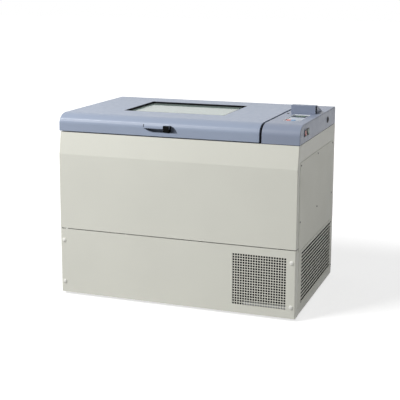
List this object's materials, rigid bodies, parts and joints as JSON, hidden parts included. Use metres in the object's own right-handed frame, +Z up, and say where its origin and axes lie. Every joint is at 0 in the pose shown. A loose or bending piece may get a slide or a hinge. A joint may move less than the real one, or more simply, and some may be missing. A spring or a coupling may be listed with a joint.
{
  "type": "incubated shaker",
  "caption": "Chest-type incubated shaker: insulated cabinet with a lift-up windowed lid, control console, orbiting platform and a cooling plant behind a pierced vent.",
  "frame": {"origin": "on the floor, under the middle of the whole machine's box, lid shut and platform at rest", "axes": "+X to the right seen from the front, along the cabinet's width; +Y to the rear; +Z up. The vented front faces -Y."},
  "size_m": [1.1301, 0.745, 0.8893],
  "materials": {
    "cabinet_paint": "cream powder coat, fine texture, satin",
    "blue_moulding": "blue-grey moulding, satin",
    "cap_plastic": "white, smooth",
    "foot_rubber": "black, dull",
    "seal_rubber": "black, dull",
    "deck_plastic": "dark grey, satin",
    "insulation_foam": "pale yellow foam, dull",
    "stainless": "brushed",
    "zinc_steel": "zinc plated, dull",
    "motor_case": "black enamel, satin",
    "fin_black": "black lacquer over fins, dull",
    "fin_aluminium": "dull",
    "pulley_aluminium": "machined",
    "eccentric_iron": "cast, grey",
    "keypad_plastic": "pale membrane, satin",
    "display_glass": "dark display, glossy",
    "black_plastic": "black, satin",
    "red_plastic": "red, smooth",
    "green_plastic": "green, smooth",
    "blue_plastic": "blue, smooth",
    "grey_plastic": "grey, smooth",
    "window_glass": "clear double pane, polished"
  },
  "bodies": {
    "cabinet": {"base_frame": "cabinet_paint", "foot_front_left": "foot_rubber", "foot_front_right": "foot_rubber", "foot_rear_left": "foot_rubber", "foot_rear_right": "foot_rubber", "front_lower_panel": "cabinet_paint", "panel_cap_1": "cap_plastic", "panel_cap_2": "cap_plastic", "panel_cap_3": "cap_plastic", "panel_cap_4": "cap_plastic", "cabinet_shell": "cabinet_paint", "left_lower_panel": "cabinet_paint", "right_upper_cover": "cabinet_paint", "right_louvre_panel": "cabinet_paint", "rear_panel": "cabinet_paint", "top_deck": "deck_plastic", "chamber_insulation": "insulation_foam", "chamber_liner": "stainless", "lid_gasket": "seal_rubber", "drive_deck": "zinc_steel", "drive_motor": "motor_case", "drive_belt": "seal_rubber", "compressor": "motor_case", "condenser": "fin_black", "condenser_fan_shroud": "zinc_steel", "electronics_box": "fin_aluminium", "air_duct_cover": "stainless", "circulation_fan_motor": "motor_case", "heating_element": "stainless", "console_shell": "blue_moulding", "keypad_tray": "keypad_plastic", "display_window": "display_glass", "display_hood": "blue_moulding", "power_switch_bezel": "black_plastic", "cooling_switch_bezel": "black_plastic", "service_socket": "black_plastic", "mains_inlet": "black_plastic", "latch_striker": "stainless", "left_hinge_base": "zinc_steel", "right_hinge_base": "zinc_steel"},
    "lid": {"lid_shell": "blue_moulding", "lid_liner": "stainless", "window_pane": "window_glass", "window_gasket": "seal_rubber", "left_hinge_arm": "zinc_steel", "right_hinge_arm": "zinc_steel"},
    "latch": {"latch_lever": "black_plastic"},
    "drive": {"main_eccentric": "eccentric_iron", "driven_pulley": "pulley_aluminium"},
    "platform": {"shaker_platform": "pulley_aluminium"},
    "left_idler": {"left_idler_crank": "zinc_steel"},
    "right_idler": {"right_idler_crank": "zinc_steel"},
    "motor_rotor": {"motor_pulley": "pulley_aluminium"},
    "chamber_fan": {"circulation_fan": "pulley_aluminium"},
    "cooling_fan": {"condenser_fan": "pulley_aluminium"},
    "power_switch": {"power_rocker": "red_plastic"},
    "cooling_switch": {"cooling_rocker": "green_plastic"},
    "start_button": {"start_key": "red_plastic"},
    "set_button": {"set_key": "blue_plastic"},
    "mode_button": {"mode_key": "grey_plastic"}
  },
  "joints": [
    {"name": "lid_hinge", "type": "hinge", "parent": "cabinet", "child": "lid", "pos_m": [-0.09, 0.365, 0.766], "axis": [-1, 0, 0], "range_deg": [0, 80]},
    {"name": "latch_pivot", "type": "hinge", "parent": "lid", "child": "latch", "pos_m": [-0.0475, -0.3185, 0.8095], "axis": [-1, 0, 0], "range_deg": [0, 8], "stiffness_Nm_per_rad": 0.3, "springref_deg": -11.46},
    {"name": "drive_spin", "type": "hinge", "parent": "cabinet", "child": "drive", "pos_m": [-0.115, 0.0035, 0.3671], "axis": [0, 0, 1], "continuous": true},
    {"name": "platform_orbit", "type": "hinge", "parent": "drive", "child": "platform", "pos_m": [-0.102, 0.0035, 0.3771], "axis": [0, 0, 1], "continuous": true},
    {"name": "left_idler_spin", "type": "hinge", "parent": "cabinet", "child": "left_idler", "pos_m": [-0.365, -0.1265, 0.3671], "axis": [0, 0, 1], "continuous": true},
    {"name": "right_idler_spin", "type": "hinge", "parent": "cabinet", "child": "right_idler", "pos_m": [0.135, -0.1265, 0.3671], "axis": [0, 0, 1], "continuous": true},
    {"name": "motor_spin", "type": "hinge", "parent": "cabinet", "child": "motor_rotor", "pos_m": [0.033, -0.1725, 0.258], "axis": [0, 0, 1], "continuous": true},
    {"name": "chamber_fan_spin", "type": "hinge", "parent": "cabinet", "child": "chamber_fan", "pos_m": [0.322, 0.0035, 0.5193], "axis": [1, 0, 0], "continuous": true},
    {"name": "cooling_fan_spin", "type": "hinge", "parent": "cabinet", "child": "cooling_fan", "pos_m": [0.3965, -0.2712, 0.14615], "axis": [0, 1, 0], "continuous": true},
    {"name": "power_rock", "type": "hinge", "parent": "cabinet", "child": "power_switch", "pos_m": [0.5623, -0.2565, 0.806], "axis": [0, 1, 0], "range_deg": [0, 18]},
    {"name": "cooling_rock", "type": "hinge", "parent": "cabinet", "child": "cooling_switch", "pos_m": [0.5623, -0.2065, 0.806], "axis": [0, 1, 0], "range_deg": [0, 18]},
    {"name": "start_press", "type": "slide", "parent": "cabinet", "child": "start_button", "axis": [0, 0, -1], "range_m": [0, 0.0015], "stiffness_N_per_m": 400, "springref_m": -0.001},
    {"name": "set_press", "type": "slide", "parent": "cabinet", "child": "set_button", "axis": [0, 0, -1], "range_m": [0, 0.0015], "stiffness_N_per_m": 400, "springref_m": -0.001},
    {"name": "mode_press", "type": "slide", "parent": "cabinet", "child": "mode_button", "axis": [0, 0, -1], "range_m": [0, 0.0015], "stiffness_N_per_m": 400, "springref_m": -0.001}
  ],
  "couplings": [
    {"joint": "platform_orbit", "follows": "drive_spin", "ratio": -1},
    {"joint": "left_idler_spin", "follows": "drive_spin", "ratio": 1},
    {"joint": "right_idler_spin", "follows": "drive_spin", "ratio": 1},
    {"joint": "motor_spin", "follows": "drive_spin", "ratio": 3.4}
  ]
}
